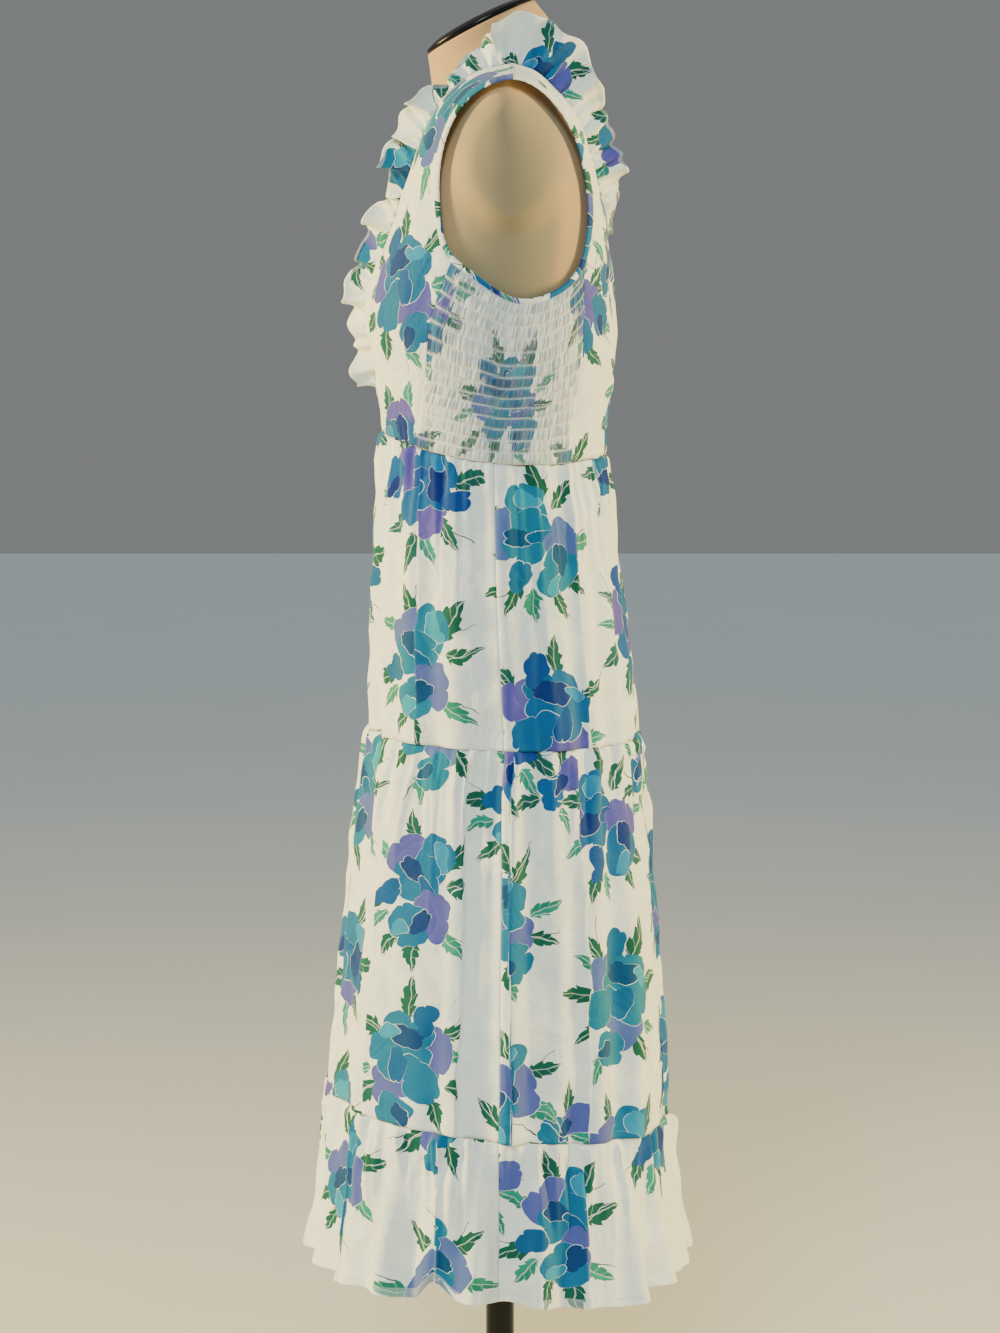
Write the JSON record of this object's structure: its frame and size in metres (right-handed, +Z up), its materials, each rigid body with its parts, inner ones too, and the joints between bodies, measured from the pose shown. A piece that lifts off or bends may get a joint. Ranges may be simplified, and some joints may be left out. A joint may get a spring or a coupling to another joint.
{
  "type": "floral midi dress on a dress form stand",
  "caption": "Sleeveless tiered midi dress with a crossed front, ruffled neckline and shirred sides, on a limbless dress form with a pole stand.",
  "frame": {"origin": "centre of the underside of the stand's base, on the floor", "axes": "+Z up along the pole, -Y the dress's front, +X the wearer's left"},
  "size_m": [0.4305, 0.3959, 1.5553],
  "materials": {
    "printed_cotton": "matt woven cotton, ivory with blue and green flowers",
    "form_cloth": "matt knit, khaki beige",
    "black_enamel": "gloss",
    "black_plastic": "gloss"
  },
  "bodies": {
    "root": {"bodice_front_left": "printed_cotton", "bodice_front_right": "printed_cotton", "bodice_back": "printed_cotton", "smocked_side_left": "printed_cotton", "smocked_side_right": "printed_cotton", "armhole_binding_left": "printed_cotton", "armhole_binding_right": "printed_cotton", "neck_ruffle_left": "printed_cotton", "neck_ruffle_right": "printed_cotton", "skirt_top_tier_front": "printed_cotton", "skirt_top_tier_back": "printed_cotton", "skirt_middle_tier_front": "printed_cotton", "skirt_middle_tier_back": "printed_cotton", "skirt_flounce_front": "printed_cotton", "skirt_flounce_back": "printed_cotton", "form_torso": "form_cloth", "neck_cap": "black_plastic", "stand_pole": "black_enamel", "stand_base": "black_enamel"}
  },
  "joints": []
}
